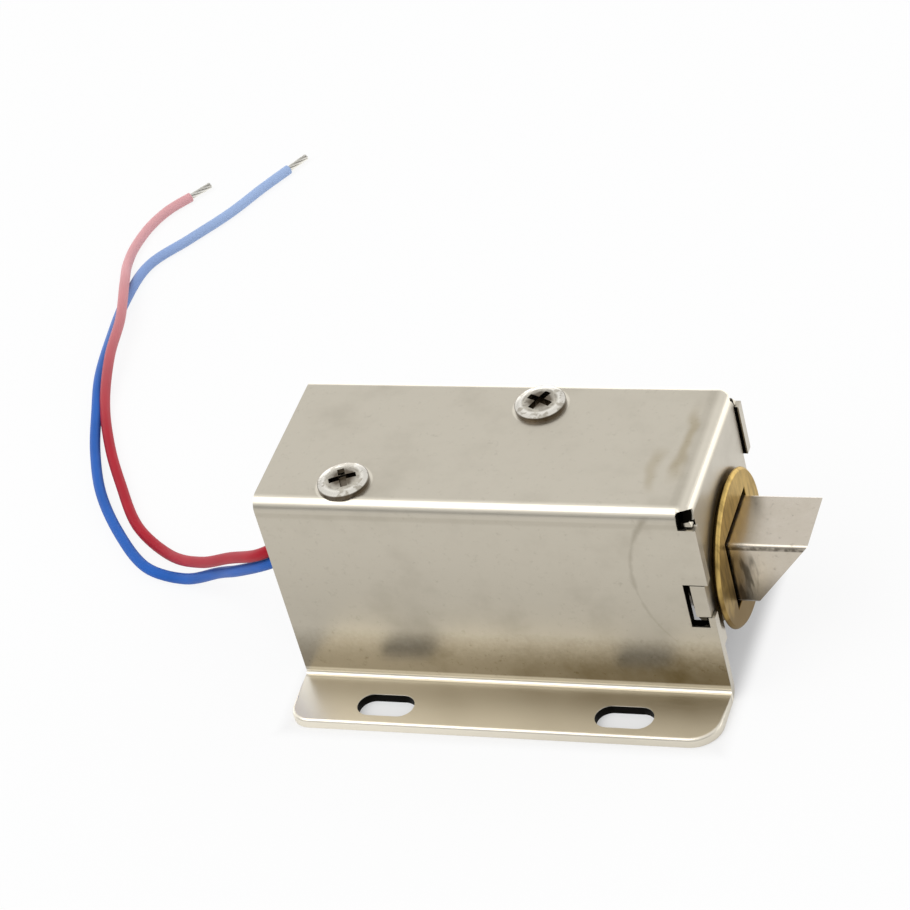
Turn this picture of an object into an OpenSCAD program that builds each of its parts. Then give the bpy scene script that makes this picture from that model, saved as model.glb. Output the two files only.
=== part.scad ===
// Solenoid lock: a spring bolt that a small pull coil draws back into a folded steel casing.
// X runs along the bolt, Y across the casing and Z up from the face that it is screwed down on.
// The origin is the middle of the four mounting slots, on that face. All sizes are in millimetres.

/* [Casing] */
// Length of the walls, from the open rear end to the front
case_length = 52; // [46:0.5:60]
// Width over the two walls
case_width = 22.2; // [21.8:0.2:26]
// Height from the mounting face to the top
case_height = 28; // [27.4:0.2:34]
// Width over the two feet
base_width = 38; // [36.4:0.2:46]
// Thickness of the folded sheet
sheet = 1.2; // [1:0.1:1.4]
// Radius inside each fold
bend_inner = 0.4; // [0.2:0.1:0.8]
// Rounded corner of each foot at the front
foot_corner_front = 3.5; // [2:0.5:5]
// Rounded corner of each foot at the rear
foot_corner_rear = 2.5; // [1.5:0.5:4]
// Width of the hole that ends the folds at each front corner
relief_d = 1.5; // [1.3:0.1:1.7]
// How much longer that hole is along the casing
relief_slot = 0.65; // [0.4:0.05:0.9]
// How far round the fold that hole sits, in degrees from the top
relief_turn = 60; // [50:1:65]

/* [Mounting slots] */
// Slot length, along X
slot_length = 7; // [5:0.5:9]
// Slot width
slot_width = 3.5; // [3:0.1:4.2]
// Distance between slot centres along X
slot_pitch_x = 29; // [24:0.5:34]
// Distance of each slot's middle line from the outer edge of its foot
slot_edge = 3.1; // [2.8:0.1:3.4]

/* [Front panel] */
// How far the panel lies behind the front edges of the walls
front_setback = 0.4; // [0:0.1:0.8]
// Slit between each side of the panel and the wall beside it
panel_gap = 0.45; // [0.3:0.05:0.7]
// How far the panel's shoulders end short of the outer faces of the walls
shoulder_inset = 0.4; // [0.3:0.05:0.6]
// How far the shoulders reach down below the fold
shoulder_drop = 0.7; // [0.5:0.1:1]
// Slit between each shoulder and the wall below it
shoulder_gap = 0.25; // [0.2:0.05:0.4]
// Height of the panel's lower edge over the mounting face
panel_bottom = 6.5; // [5:0.5:8]
// Height of the ear that hooks into the near wall
ear_height = 4.6; // [3.5:0.1:6]
// Level of the ear's lower edge
ear_level = 12.7; // [11:0.1:14]
// Reach of the ear along the wall
ear_reach = 1.7; // [1.4:0.1:2.2]
// Depth of the wall notches from the front edge
notch_depth = 2.9; // [2.5:0.1:3.2]
// Opening left below the ear
notch_below = 1.6; // [1:0.1:2]
// Opening left above the ear
notch_above = 0.12; // [0.1:0.02:0.3]
// Lip of the wall left in front of the opening below the ear
notch_lip = 0.75; // [0.5:0.05:1]
// How much higher the far notch reaches
notch_rise = 1.2; // [0.6:0.1:2]

/* [Bolt] */
// How far the bolt's axis lies below half the height of the casing
axis_drop = 0.9; // [0:0.1:1.4]
// Bolt width
bolt_width = 8.6; // [7.8:0.1:9]
// Bolt height
bolt_height = 8.7; // [7.8:0.1:9]
// How far the bolt stands out of the collar at rest
bolt_throw = 9.2; // [8.5:0.1:11]
// Length of the slanted face along X
slant_length = 7; // [5:0.5:8]
// Rounding along the bolt's edges
bolt_edge = 0.45; // [0.2:0.05:0.8]
// Travel of the bolt
stroke = 9; // [8:0.1:9.4]
// Thickness of the round flange at the bolt's rear
bolt_flange = 1.2; // [0.8:0.1:1.6]
// How far that flange reaches past the hole in the collar
shoulder_lip = 1.8; // [1.4:0.1:2]
// Diameter of the tenon that enters the plunger
tenon_d = 5.2; // [4.6:0.1:5.6]
// Length of the tenon
tenon_length = 7; // [5.5:0.5:8]

/* [Collar] */
// Diameter of the brass face
collar_d = 18.4; // [18:0.1:19]
// Thickness of the face in front of the panel
collar_face = 1; // [0.9:0.1:1.6]
// Depth of the step behind the rim
collar_undercut = 0.5; // [0.2:0.05:0.55]
// Bevel around the face
collar_bevel = 0.3; // [0.2:0.05:0.35]
// Inset of the step under the rim
undercut_inset = 0.8; // [0.3:0.1:0.9]
// Free space around the bolt in the square hole
hole_play = 0.6; // [0.4:0.05:0.7]
// Least wall between the square hole and the neck
neck_wall = 0.75; // [0.6:0.05:0.8]
// How far the tail reaches past the neck
tail_lip = 0.8; // [0.5:0.1:0.9]
// Length of the tail behind the panel
tail_length = 1.6; // [1.2:0.1:2]

/* [Washers] */
// Thickness of the soft stop washer on the bolt
stop_washer_thick = 0.8; // [0.5:0.1:1.2]
// Thickness of the rubber bumper on the frame
bumper_thick = 1; // [0.8:0.1:1.4]
// Gap left at the bumper when the bolt is drawn back
bumper_gap = 0.5; // [0.3:0.1:0.8]
// Thickness of the brass shim on the pole
shim_thick = 0.3; // [0.2:0.05:0.5]
// Gap left at the shim when the bolt is drawn back
shim_gap = 0.3; // [0.2:0.05:0.6]

/* [Plunger and pole] */
// Plunger diameter
plunger_d = 9; // [8.6:0.1:9.4]
// Plunger length
plunger_length = 19.5; // [18.5:0.5:20.5]
// Bore for the spring, in the plunger and in the pole
spring_bore_d = 5.2; // [5:0.1:5.6]
// Depth of the spring bore in the plunger
plunger_bore_depth = 9; // [7:0.5:9.5]
// Depth of the spring bore in the pole
pole_bore_depth = 3; // [2:0.5:4]
// Pin that holds the bolt in the plunger
pin_d = 2; // [1.6:0.1:2.2]
// Length of the pole inside the coil
pole_length = 11.6; // [10:0.2:12.4]
// Spigot of the pole through the frame
spigot_d = 6; // [5:0.5:7]
// Rivet head behind the frame
rivet_d = 7.4; // [7.2:0.1:9]
// Height of the rivet head
rivet_height = 0.6; // [0.4:0.1:0.9]

/* [Spring] */
// Outer diameter of the spring
spring_d = 4.5; // [4.2:0.1:4.7]
// Wire of the spring
spring_wire = 0.5; // [0.4:0.05:0.55]
// Number of turns
spring_turns = 14; // [10:1:16]

/* [Frame and coil] */
// Thickness of the frame
yoke_plate = 2; // [1.6:0.1:2.2]
// Thickness of the frame's front plate
front_plate = 1.6; // [1.4:0.1:2]
// Space between the frame and each wall of the casing
yoke_side_play = 0.6; // [0.4:0.05:0.8]
// Least space between the frame and the mounting face
yoke_base_play = 0.5; // [0.3:0.1:1.6]
// Radius inside the frame's folds
yoke_bend = 0.5; // [0.3:0.1:0.8]
// Width of the tabs that lock the front plate
tab_width = 8; // [6:0.5:10]
// Wall of the brass guide tube
tube_wall = 0.42; // [0.35:0.01:0.5]
// How far the guide tube stands out of the front plate
tube_stand_out = 0.8; // [0.5:0.1:1]
// Wall of the bobbin's core
bobbin_wall = 0.8; // [0.6:0.1:1.2]
// Thickness of the bobbin's flanges
bobbin_flange = 1; // [0.8:0.1:1.4]
// Width of the key on top of each flange
key_width = 10; // [8:0.5:10.5]
// How far the flanges stand over the tape
flange_lip = 0.35; // [0.3:0.05:0.6]
// Thickness of the tape around the winding
tape_thick = 0.3; // [0.2:0.05:0.5]
// Height of the leads' way out through the frame
lead_way_height = 6; // [5:0.5:7]
// How far that way reaches below the upper lead
lead_way_below = 4.4; // [4:0.1:5]

/* [Case screws] */
// Screw size
screw_d = 3; // [2.5:0.1:3.2]
// Length under the head
screw_length = 5.5; // [4:0.5:5.5]
// Head diameter
head_d = 6; // [5:0.1:6.6]
// Head height
head_height = 0.9; // [0.7:0.1:1.4]
// Distance of the rear screw from the rear end
screw_rear = 10.3; // [9.5:0.1:12]
// Distance of the front screw from the rear end
screw_front = 29.9; // [26:0.1:31]
// Rear screw, towards the near side
screw_near = 7.6; // [6:0.1:7.8]
// Front screw, towards the far side
screw_far = 6.6; // [5:0.1:7.8]
// Length of the cross recess
recess_length = 3.2; // [2.6:0.1:3.6]
// Width of the cross recess
recess_width = 0.8; // [0.6:0.1:1]
// Depth of the cross recess
recess_depth = 1.4; // [1:0.1:1.6]

/* [Leads] */
// Diameter of each lead
lead_d = 1.4; // [1.2:0.1:1.5]
// Diameter of the tinned wire at each end
strand_d = 0.9; // [0.6:0.1:1]
// Length of the tinned wire
strand_length = 3.5; // [2:0.5:6]
// Diameter of the sleeve over each joint
sleeve_d = 2.1; // [2:0.05:2.15]
// Length of the sleeve
sleeve_length = 7; // [5:0.5:9]

/* [Fits] */
// Radial clearance of the plunger in its tube
running_fit = 0.08; // [0.05:0.01:0.1]
// Radial clearance of pressed and staked pieces
press_fit = 0.02; // [0.01:0.01:0.05]
// Clearance of loose pieces that are only assembled
loose_fit = 0.1; // [0.05:0.05:0.2]

/* [Hidden] */

$fn = 64;
eps = 0.01;

// The folds and the space inside the casing
bend_outer = bend_inner + sheet;
half_length = case_length / 2;
half_inner = case_width / 2 - sheet;
ceiling = case_height - sheet;
axis_height = case_height / 2 - axis_drop;
foot_start = case_width / 2 + bend_inner;
slot_pitch_y = base_width - 2 * slot_edge;

// The front panel and what passes through it
panel_front = half_length - front_setback;
panel_half = half_inner - panel_gap;
shoulder_half = case_width / 2 - shoulder_inset;
shoulder_bottom = case_height - bend_outer - shoulder_drop;
hole_width = bolt_width + 2 * hole_play;
hole_height = bolt_height + 2 * hole_play;
neck_d = norm([hole_width, hole_height]) + 2 * neck_wall;
tail_d = neck_d + 2 * tail_lip;
throat_width = neck_d + 2 * loose_fit;

// Places along X, from the face of the collar back to the rivet of the pole
collar_front = panel_front + collar_face;
bolt_tip = collar_front + bolt_throw;
tail_front = panel_front - sheet - loose_fit;
tail_rear = tail_front - tail_length;
bolt_shoulder = tail_rear - stop_washer_thick;
bolt_rear = bolt_shoulder - bolt_flange;
plunger_rear = bolt_rear - plunger_length;
shim_front = plunger_rear - stroke - shim_gap;
pole_front = shim_front - shim_thick;
leg_front = pole_front - pole_length;
yoke_rear = leg_front - yoke_plate;
bumper_front = bolt_rear - stroke - bumper_gap;
plate_front = bumper_front - bumper_thick;
plate_rear = plate_front - front_plate;
spring_front = plunger_rear + plunger_bore_depth;
spring_rear = pole_front - pole_bore_depth;
pin_x = bolt_rear - tenon_length / 2;
bolt_flange_d = min(hole_width, hole_height) + 2 * shoulder_lip;

// Diameters of what is stacked around the plunger
tube_inner_d = plunger_d + 2 * running_fit;
tube_d = tube_inner_d + 2 * tube_wall;
core_d = tube_d + 2 * loose_fit + 2 * bobbin_wall;
yoke_width = 2 * (half_inner - yoke_side_play);
yoke_top_inner = ceiling - yoke_plate;
// the coil fills the least of the space across, above and below the axis
coil_space = min(yoke_width, 2 * (yoke_top_inner - axis_height),
                 2 * (axis_height - yoke_plate - yoke_base_play));
flange_d = coil_space - 2 * loose_fit;
tape_d = flange_d - 2 * flange_lip;
coil_d = tape_d - 2 * tape_thick;
web_inner = axis_height - flange_d / 2 - loose_fit;
yoke_bottom = web_inner - yoke_plate;

// Where the two screws stand
screw_rear_x = screw_rear - half_length;
screw_front_x = screw_front - half_length;

// Where the two joints lie on the coil, across and up
joint_r = tape_d / 2 + sleeve_d / 2 + loose_fit;
red_joint = [-0.65 * joint_r, axis_height + 0.76 * joint_r];
blue_joint = [-0.8 * joint_r, axis_height + 0.6 * joint_r];

// Routes of the leads, from the joints on the coil to their free ends on the bench
red_route = [[-12.5, red_joint[0], red_joint[1]], [-18, red_joint[0], red_joint[1]],
    [-23, red_joint[0] - 1, red_joint[1] - 0.7], [-28.5, red_joint[0] - 2, red_joint[1] - 3.2],
    [-35.5, -4, 12.5], [-43, 1.5, 6.5], [-51, 8, 1.5], [-58, 14, 0.7], [-63.5, 22, 0.7],
    [-68, 29.5, 0.7], [-72, 38, 0.8], [-74, 46, 2.2], [-75.5, 54, 2.3], [-78, 62, 2.2],
    [-80.5, 69, 0.7], [-80.5, 75.5, 0.7], [-79, 80.5, 0.7], [-76.5, 84, 0.7]];
blue_route = [[-12.5, blue_joint[0], blue_joint[1]], [-18, blue_joint[0], blue_joint[1]],
    [-23, blue_joint[0] - 0.5, blue_joint[1] - 0.8], [-28, blue_joint[0] - 0.5, blue_joint[1] - 3.1],
    [-34.5, -4.5, 11], [-40, 0, 6.3], [-47.5, 4, 1.3], [-54, 6.5, 0.7], [-60, 12.5, 0.7],
    [-65.5, 20, 0.7], [-69.5, 28, 0.7], [-72.5, 36, 0.7], [-75, 43.5, 0.7], [-76.5, 51.5, 0.7],
    [-77.5, 60, 0.7], [-77, 68, 0.7], [-73, 74, 0.7], [-69, 80, 0.7], [-66, 86, 0.7],
    [-63.5, 90.5, 0.7]];

// One point of a smooth curve through b and c, between a and d
function blend(a, b, c, d, t) =
    0.5 * (2 * b + (c - a) * t + (2 * a - 5 * b + 4 * c - d) * t * t
           + (3 * b - a - 3 * c + d) * t * t * t);

// A route with a ring halfway between each two of its points, never below the bench
function lay(p) = [for (q = p) [q[0], q[1], max(q[2], lead_d / 2)]];
function smooth(r) = lay(concat([for (i = [0 : len(r) - 2]) for (t = [0, 0.5])
    blend(r[max(i - 1, 0)], r[i], r[i + 1], r[min(i + 2, len(r) - 1)], t)], [r[len(r) - 1]]));

function unit(v) = v / norm(v);

// Direction of a route at its point i
function along(r, i) = unit(r[min(i + 1, len(r) - 1)] - r[max(i - 1, 0)]);

// One ring of a round tube, square to the direction d
function ring(c, d, radius, sides) =
    let (u = unit(cross(d, [0, 0, 1])), v = cross(u, d))
    [for (k = [0 : sides - 1]) c + radius * (cos(360 * k / sides) * u + sin(360 * k / sides) * v)];

// A closed round tube swept through the rings of a route
module tube_along(r, d, sides) {
    n = len(r);
    points = [for (i = [0 : n - 1]) each ring(r[i], along(r, i), d / 2, sides)];
    walls = [for (i = [0 : n - 2]) for (k = [0 : sides - 1])
        let (a = i * sides + k, b = i * sides + (k + 1) % sides)
        each [[a, b, b + sides], [a, b + sides, a + sides]]];
    start = [for (k = [sides - 1 : -1 : 0]) k];
    end = [for (k = [0 : sides - 1]) (n - 1) * sides + k];
    polyhedron(points, concat(walls, [start, end]), convexity = 10);
}

// A cylinder on the bolt's axis from x = a to x = b
module on_axis(a, b, d) {
    translate([a, 0, axis_height])
        rotate([0, 90, 0])
            cylinder(h = b - a, d = d);
}

// A profile drawn across the casing, in Y and Z, and run along X from a to b
module along_x(a, b) {
    translate([a, 0, 0])
        rotate([90, 0, 90])
            linear_extrude(height = b - a)
                children();
}

// A profile drawn along the casing, in X and Z, and run across it from y = -w / 2 to w / 2
module across(w) {
    rotate([90, 0, 0])
        linear_extrude(height = w, center = true)
            children();
}

// A quarter of a fold in the sheet, around the centre c and in the quadrant q
module fold(c, q, inner, thick) {
    r = inner + thick;
    translate(c)
        intersection() {
            difference() {
                circle(r = r);
                circle(r = inner);
            }
            scale([q[0], q[1]])
                square(r + 1);
        }
}

// The two walls, the top and the two feet in one profile
module casing_profile() {
    translate([-case_width / 2 + bend_outer, ceiling])
        square([case_width - 2 * bend_outer, sheet]);
    for (s = [-1, 1]) {
        fold([s * (case_width / 2 - bend_outer), case_height - bend_outer], [s, 1], bend_inner, sheet);
        translate([s * (case_width / 2 - sheet / 2) - sheet / 2, sheet + bend_inner])
            square([sheet, case_height - bend_outer - sheet - bend_inner]);
        fold([s * foot_start, sheet + bend_inner], [-s, -1], bend_inner, sheet);
        translate([s > 0 ? foot_start : -base_width / 2, 0])
            square([base_width / 2 - foot_start, sheet]);
    }
}

// The top of the sheet as it folds down into the front panel
module panel_fold_profile() {
    fold([panel_front - bend_outer, case_height - bend_outer], [1, 1], bend_inner, sheet);
}

// The front panel, open below so that the collar slides up into it, with its shoulders and ear
module panel_profile() {
    difference() {
        union() {
            translate([-shoulder_half, shoulder_bottom])
                square([2 * shoulder_half, shoulder_drop]);
            translate([-panel_half, panel_bottom])
                square([2 * panel_half, case_height - bend_outer - panel_bottom]);
            translate([-case_width / 2, ear_level])
                square([case_width / 2, ear_height]);
        }
        translate([0, axis_height])
            circle(d = throat_width);
        translate([-throat_width / 2, panel_bottom - 1])
            square([throat_width, axis_height - panel_bottom + 1]);
    }
}

// What a rounded foot corner takes away, at the corner of a quadrant
module corner_cut(r) {
    difference() {
        translate([-1, -1])
            square(r + 1);
        translate([r, r])
            circle(r = r);
    }
}

module slot_cut() {
    length = slot_length - slot_width;
    translate([0, 0, -1])
        linear_extrude(height = sheet + 2) {
            for (s = [-1, 1])
                translate([s * length / 2, 0])
                    circle(d = slot_width);
            square([length, slot_width], center = true);
        }
}

module casing() {
    color([0.78, 0.75, 0.69])
    difference() {
        union() {
            difference() {
                along_x(-half_length, half_length)
                    casing_profile();
                // the top ends where the panel folds down, and the walls end below its shoulders
                translate([panel_front - bend_outer, -half_length, shoulder_bottom - shoulder_gap])
                    cube([bend_outer + 2, case_length, case_height]);
            }
            across(2 * shoulder_half)
                panel_fold_profile();
            along_x(panel_front - sheet, panel_front)
                panel_profile();
            // the lip of the ear lies back along the wall
            translate([panel_front - ear_reach, -case_width / 2, ear_level])
                cube([ear_reach, sheet, ear_height]);
        }
        // notches in the front edges of the walls, around the ear and opposite it
        difference() {
            translate([half_length - notch_depth, -case_width / 2 - 1, ear_level - notch_below])
                cube([notch_depth + 1, sheet + 1 + eps, notch_below + ear_height + notch_above]);
            translate([panel_front - ear_reach, -case_width / 2 - 1, ear_level])
                cube([ear_reach, sheet + 2, ear_height]);
            translate([half_length - notch_lip, -case_width / 2 - 1, ear_level - notch_below - 1])
                cube([notch_lip, sheet + 2, notch_below + 1 - notch_above]);
        }
        translate([half_length - notch_depth, half_inner - eps, ear_level - notch_below])
            cube([notch_depth + 1, sheet + 1, notch_below + ear_height + notch_above + notch_rise]);
        // relief holes where the folds meet
        for (s = [-1, 1])
            translate([panel_front - relief_d / 6, s * (case_width / 2 - bend_outer),
                       case_height - bend_outer])
                rotate([s * -relief_turn, 0, 0])
                    linear_extrude(height = bend_outer + 1) {
                        for (x = [0, -relief_slot])
                            translate([x, 0])
                                circle(d = relief_d);
                        translate([-relief_slot, -relief_d / 2])
                            square([relief_slot, relief_d]);
                    }
        // screw holes in the top
        translate([screw_rear_x, -screw_near, ceiling - 1])
            cylinder(h = sheet + 2, d = screw_d + 2 * loose_fit);
        translate([screw_front_x, screw_far, ceiling - 1])
            cylinder(h = sheet + 2, d = screw_d + 2 * loose_fit);
        // mounting slots
        for (sx = [-1, 1])
            for (sy = [-1, 1])
                translate([sx * slot_pitch_x / 2, sy * slot_pitch_y / 2, 0])
                    slot_cut();
        // rounded corners of the feet
        for (s = [-1, 1])
            scale([1, s, 1]) {
                translate([-half_length, -base_width / 2, -1])
                    linear_extrude(height = sheet + 2)
                        corner_cut(foot_corner_rear);
                translate([half_length, -base_width / 2, -1])
                    mirror([1, 0, 0])
                        linear_extrude(height = sheet + 2)
                            corner_cut(foot_corner_front);
            }
    }
}

// A low round head with a cross recess, and its shank down into the frame
module case_screw() {
    difference() {
        union() {
            rotate_extrude()
                intersection() {
                    square([head_d / 2, head_height]);
                    translate([0, head_height - 2 * head_d])
                        circle(r = 2 * head_d, $fn = 160);
                }
            translate([0, 0, -screw_length])
                cylinder(h = screw_length + eps, d = screw_d);
        }
        for (a = [0, 90])
            rotate([0, 0, a + 25])
                translate([-recess_length / 2, -recess_width / 2, head_height - recess_depth])
                    cube([recess_length, recess_width, recess_depth + 1]);
    }
}

module case_screws() {
    color([0.80, 0.79, 0.76]) {
        translate([screw_rear_x, -screw_near, case_height])
            case_screw();
        translate([screw_front_x, screw_far, case_height])
            rotate([0, 0, 40])
                case_screw();
    }
}

// Brass collar: a face in front of the panel, a neck in its throat and a tail behind it
module collar() {
    color([0.74, 0.60, 0.30])
    difference() {
        translate([0, 0, axis_height])
            rotate([0, 90, 0])
                rotate_extrude()
                    polygon([[0, tail_rear], [tail_d / 2, tail_rear], [tail_d / 2, tail_front],
                             [neck_d / 2, tail_front], [neck_d / 2, panel_front],
                             [collar_d / 2 - undercut_inset, panel_front],
                             [collar_d / 2 - undercut_inset, panel_front + collar_undercut],
                             [collar_d / 2, panel_front + collar_undercut],
                             [collar_d / 2, collar_front - collar_bevel],
                             [collar_d / 2 - collar_bevel, collar_front], [0, collar_front]]);
        translate([tail_rear - 1, -hole_width / 2, axis_height - hole_height / 2])
            cube([collar_front - tail_rear + 2, hole_width, hole_height]);
    }
}

// The bolt's section, with rounded edges
module bolt_section() {
    w = bolt_width;
    h = bolt_height;
    translate([0, axis_height]) {
        square([w - 2 * bolt_edge, h], center = true);
        square([w, h - 2 * bolt_edge], center = true);
        for (sy = [-1, 1])
            for (sz = [-1, 1])
                translate([sy * (w / 2 - bolt_edge), sz * (h / 2 - bolt_edge)])
                    circle(r = bolt_edge);
    }
}

// Bolt with its slanted face, its round flange and its tenon
module bolt() {
    low = axis_height - bolt_height / 2;
    high = axis_height + bolt_height / 2;
    color([0.76, 0.74, 0.70])
    difference() {
        union() {
            intersection() {
                along_x(bolt_shoulder, bolt_tip)
                    bolt_section();
                across(bolt_width + 2)
                    polygon([[bolt_shoulder - 1, low - 1], [bolt_tip - slant_length, low - 1],
                             [bolt_tip - slant_length, low], [bolt_tip, high], [bolt_tip, high + 1],
                             [bolt_shoulder - 1, high + 1]]);
            }
            on_axis(bolt_rear, bolt_shoulder, bolt_flange_d);
            on_axis(bolt_rear - tenon_length, bolt_rear, tenon_d);
        }
        pin_cut(pin_d + 2 * press_fit);
    }
}

module pin_cut(d) {
    translate([pin_x, 0, axis_height])
        cylinder(h = plunger_d + 2, d = d, center = true);
}

// Soft washer on the bolt, between its flange and the collar
module stop_washer() {
    color([0.16, 0.16, 0.17])
    difference() {
        on_axis(bolt_shoulder, tail_rear, bolt_flange_d);
        translate([bolt_shoulder - 1, -bolt_width / 2 - loose_fit,
                   axis_height - bolt_height / 2 - loose_fit])
            cube([stop_washer_thick + 2, bolt_width + 2 * loose_fit, bolt_height + 2 * loose_fit]);
    }
}

module plunger() {
    color([0.66, 0.66, 0.66])
    difference() {
        on_axis(plunger_rear, bolt_rear, plunger_d);
        on_axis(bolt_rear - tenon_length - loose_fit, bolt_rear + 1, tenon_d + 2 * press_fit);
        on_axis(plunger_rear - 1, spring_front, spring_bore_d);
        pin_cut(pin_d + 2 * press_fit);
    }
}

module cross_pin() {
    color([0.55, 0.56, 0.58])
    translate([pin_x, 0, axis_height])
        cylinder(h = plunger_d - 0.6, d = pin_d, center = true);
}

// One continuous wire, closed up at each end so that it seats flat in its bore
module return_spring() {
    r = (spring_d - spring_wire) / 2;
    steps = 14 * spring_turns;
    first = spring_rear + spring_wire / 2;
    span = spring_front - spring_rear - spring_wire;
    function lead_in(t) = t < 0.08 ? t / 8 : t > 0.92 ? 1 - (1 - t) / 8
        : 0.01 + (t - 0.08) * 0.98 / 0.84;
    coil = [for (i = [0 : steps])
        let (t = i / steps, a = 360 * spring_turns * t)
        [first + span * lead_in(t), r * cos(a), axis_height + r * sin(a)]];
    color([0.70, 0.71, 0.72])
        wire_along(coil, spring_wire, 6);
}

// A closed wire swept through points that wind around the bolt's axis
module wire_along(r, d, sides) {
    n = len(r);
    points = [for (i = [0 : n - 1])
        let (t = along(r, i), u = unit([0, r[i][1], r[i][2] - axis_height]), v = cross(t, u))
        for (k = [0 : sides - 1])
            r[i] + d / 2 * (cos(360 * k / sides) * u + sin(360 * k / sides) * v)];
    walls = [for (i = [0 : n - 2]) for (k = [0 : sides - 1])
        let (a = i * sides + k, b = i * sides + (k + 1) % sides)
        each [[a, b + sides, b], [a, a + sides, b + sides]]];
    start = [for (k = [0 : sides - 1]) k];
    end = [for (k = [sides - 1 : -1 : 0]) (n - 1) * sides + k];
    polyhedron(points, concat(walls, [start, end]), convexity = 20);
}

// Fixed pole inside the coil, riveted through the rear leg of the frame
module pole_core() {
    color([0.62, 0.62, 0.63])
    difference() {
        union() {
            on_axis(leg_front, pole_front, tube_inner_d - 2 * press_fit);
            on_axis(yoke_rear - eps, leg_front + eps, spigot_d);
            on_axis(yoke_rear - rivet_height, yoke_rear, rivet_d);
        }
        on_axis(spring_rear, pole_front + 1, spring_bore_d);
    }
}

module pole_shim() {
    color([0.80, 0.66, 0.34])
    difference() {
        on_axis(pole_front, shim_front, tube_inner_d - 2 * loose_fit);
        on_axis(pole_front - 1, shim_front + 1, spring_bore_d);
    }
}

// Frame of the coil: a rear leg and two webs folded from one strip
module yoke_profile() {
    outer = yoke_bend + yoke_plate;
    translate([yoke_rear, yoke_bottom + outer])
        square([yoke_plate, ceiling - yoke_bottom - 2 * outer]);
    fold([yoke_rear + outer, yoke_bottom + outer], [-1, -1], yoke_bend, yoke_plate);
    fold([yoke_rear + outer, ceiling - outer], [-1, 1], yoke_bend, yoke_plate);
    translate([yoke_rear + outer, yoke_bottom])
        square([plate_front - yoke_rear - outer, yoke_plate]);
    translate([yoke_rear + outer, yoke_top_inner])
        square([plate_front - yoke_rear - outer, yoke_plate]);
}

module yoke() {
    color([0.72, 0.72, 0.70])
    difference() {
        across(yoke_width)
            yoke_profile();
        // seats for the tabs of the front plate
        translate([plate_rear, -tab_width / 2 - press_fit, yoke_bottom - 1])
            cube([front_plate + 1, tab_width + 2 * press_fit, ceiling - yoke_bottom + 2]);
        on_axis(yoke_rear - 1, leg_front + 1, spigot_d + 2 * press_fit);
        // way out for the leads
        translate([yoke_rear - 1, -yoke_width / 2 - 1, red_route[0][2] - lead_way_below])
            cube([yoke_plate + 2, yoke_width / 2 + 1 + red_route[0][1] + lead_d, lead_way_height]);
        // threaded holes for the case screws
        translate([screw_rear_x, -screw_near, yoke_top_inner - 1])
            cylinder(h = yoke_plate + 2, d = screw_d + 2 * press_fit);
        translate([screw_front_x, screw_far, yoke_top_inner - 1])
            cylinder(h = yoke_plate + 2, d = screw_d + 2 * press_fit);
    }
}

module yoke_front_plate() {
    color([0.68, 0.68, 0.67])
    difference() {
        union() {
            translate([plate_rear, -yoke_width / 2, web_inner])
                cube([front_plate, yoke_width, yoke_top_inner - web_inner]);
            translate([plate_rear, -tab_width / 2, yoke_bottom])
                cube([front_plate, tab_width, ceiling - yoke_bottom]);
        }
        on_axis(plate_rear - 1, plate_front + 1, tube_d + 2 * press_fit);
    }
}

module bumper_washer() {
    color([0.10, 0.10, 0.11])
    difference() {
        on_axis(plate_front, bumper_front, bolt_flange_d + 1);
        on_axis(plate_front - 1, bumper_front + 1, tube_d + 2 * loose_fit);
    }
}

module guide_tube() {
    color([0.80, 0.66, 0.34])
    difference() {
        on_axis(leg_front, plate_front + tube_stand_out, tube_d);
        on_axis(leg_front - 1, plate_front + tube_stand_out + 1, tube_inner_d);
    }
}

// One flange of the bobbin, with the key that stops it from turning in the frame
module bobbin_end(x) {
    on_axis(x, x + bobbin_flange, flange_d);
    translate([x, -key_width / 2, axis_height])
        cube([bobbin_flange, key_width, yoke_top_inner - axis_height - loose_fit]);
}

module bobbin() {
    a = leg_front + loose_fit;
    b = plate_rear - loose_fit;
    color([0.90, 0.89, 0.84])
    difference() {
        union() {
            on_axis(a, b, core_d);
            bobbin_end(a);
            bobbin_end(b - bobbin_flange);
        }
        on_axis(a - 1, b + 1, core_d - 2 * bobbin_wall);
    }
}

module wound(inner, outer) {
    a = leg_front + loose_fit + bobbin_flange + press_fit;
    b = plate_rear - loose_fit - bobbin_flange - press_fit;
    difference() {
        on_axis(a, b, outer);
        on_axis(a - 1, b + 1, inner);
    }
}

module coil_winding() {
    color([0.72, 0.42, 0.22])
        wound(core_d + 2 * press_fit, coil_d);
}

module coil_tape() {
    color([0.82, 0.70, 0.25])
        wound(coil_d + 2 * press_fit, tape_d);
}

// Sleeves over the two joints, lying along the coil
module lead_sleeves() {
    color([0.12, 0.12, 0.12])
    for (start = [red_route[0], blue_route[0]])
        translate(start)
            rotate([0, 90, 0])
                cylinder(h = sleeve_length, d = sleeve_d);
}

module red_lead() {
    color([0.75, 0.12, 0.18])
        tube_along(smooth(red_route), lead_d, 8);
}

module blue_lead() {
    color([0.14, 0.35, 0.75])
        tube_along(smooth(blue_route), lead_d, 8);
}

// Tinned end of a lead, on from the last point of its route
module lead_end(route) {
    n = len(route) - 1;
    d = unit(route[n] - route[n - 1]);
    translate(route[n])
        rotate([0, 0, atan2(d[1], d[0])])
            rotate([0, 90, 0])
                cylinder(h = strand_length, d = strand_d);
}

module red_lead_end() {
    color([0.80, 0.80, 0.80])
        lead_end(red_route);
}

module blue_lead_end() {
    color([0.80, 0.80, 0.80])
        lead_end(blue_route);
}

casing();
case_screws();
collar();
bolt();
stop_washer();
plunger();
cross_pin();
return_spring();
pole_core();
pole_shim();
yoke();
yoke_front_plate();
bumper_washer();
guide_tube();
bobbin();
coil_winding();
coil_tape();
lead_sleeves();
red_lead();
blue_lead();
red_lead_end();
blue_lead_end();
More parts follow.
